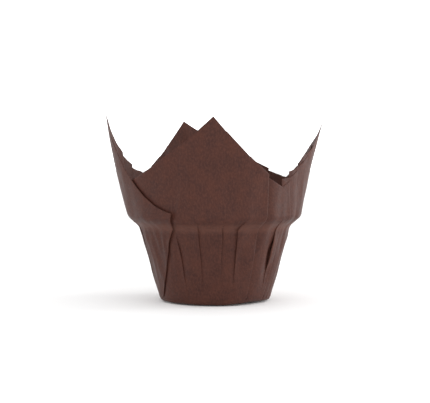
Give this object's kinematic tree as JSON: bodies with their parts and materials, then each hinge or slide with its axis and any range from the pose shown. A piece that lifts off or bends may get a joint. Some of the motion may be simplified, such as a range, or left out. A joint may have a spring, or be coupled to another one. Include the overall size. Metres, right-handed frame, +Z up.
{
  "type": "cupcake liner",
  "caption": "Tulip baking cup folded from one square sheet of brown greaseproof paper, with a flat round base, a pleated wall and pointed petals round the rim.",
  "frame": {"origin": "centre of the flat round base, on its underside", "axes": "+Z up out of the open cup; -Y towards the front petal; +X towards the right-hand petal"},
  "size_m": [0.0982, 0.0849, 0.0846],
  "materials": {
    "greaseproof_paper": "matte brown"
  },
  "bodies": {
    "root": {"folded_sheet": "greaseproof_paper"}
  },
  "joints": []
}
